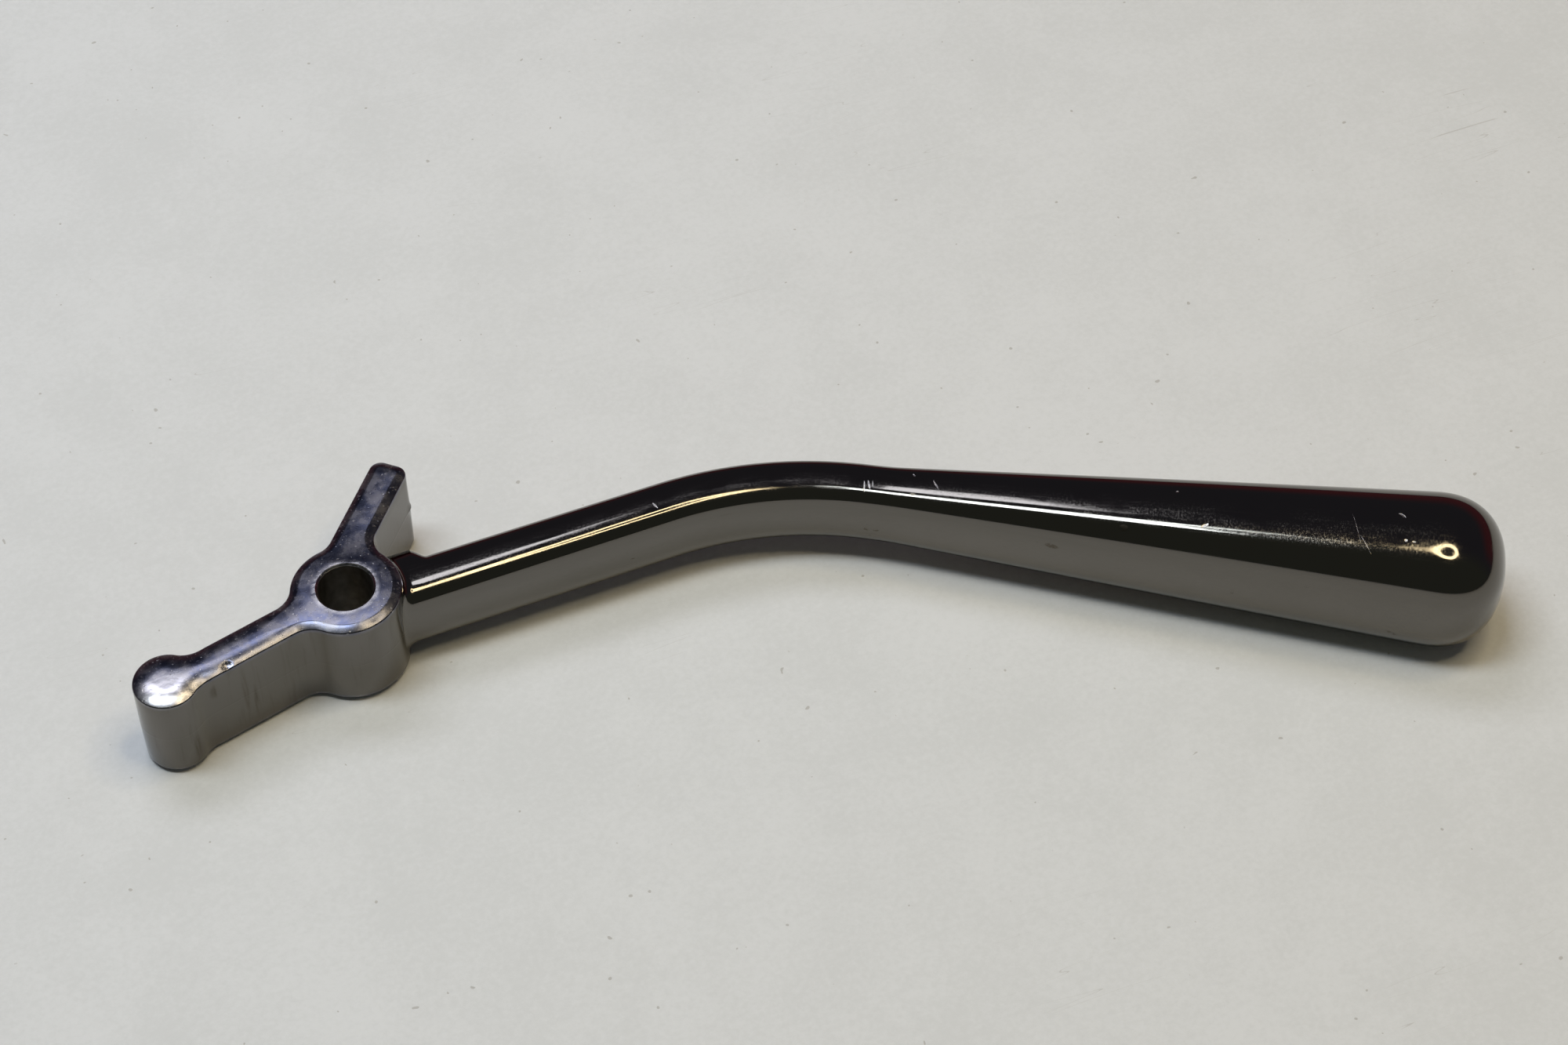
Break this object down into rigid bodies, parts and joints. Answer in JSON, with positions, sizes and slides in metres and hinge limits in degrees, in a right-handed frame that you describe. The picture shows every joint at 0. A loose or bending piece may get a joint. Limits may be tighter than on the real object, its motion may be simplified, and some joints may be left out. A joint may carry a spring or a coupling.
{
  "type": "crank handle",
  "caption": "One-piece cast crank handle: a bored head with a nosed arm and a plain arm, and a bent lever that swells into a rounded grip to turn it by hand.",
  "frame": {"origin": "on the bore axis, half way up the head, in the plane where the two halves of the mould meet", "axes": "+Z along the bore axis; +X from the bore along the lever's straight shank; the lever bends towards -Y and the plain arm points between +X and +Y"},
  "size_m": [0.1908, 0.0817, 0.0214],
  "materials": {
    "plating": "polished dark plating over a casting"
  },
  "bodies": {
    "root": {"crank_handle": "plating"}
  },
  "joints": []
}
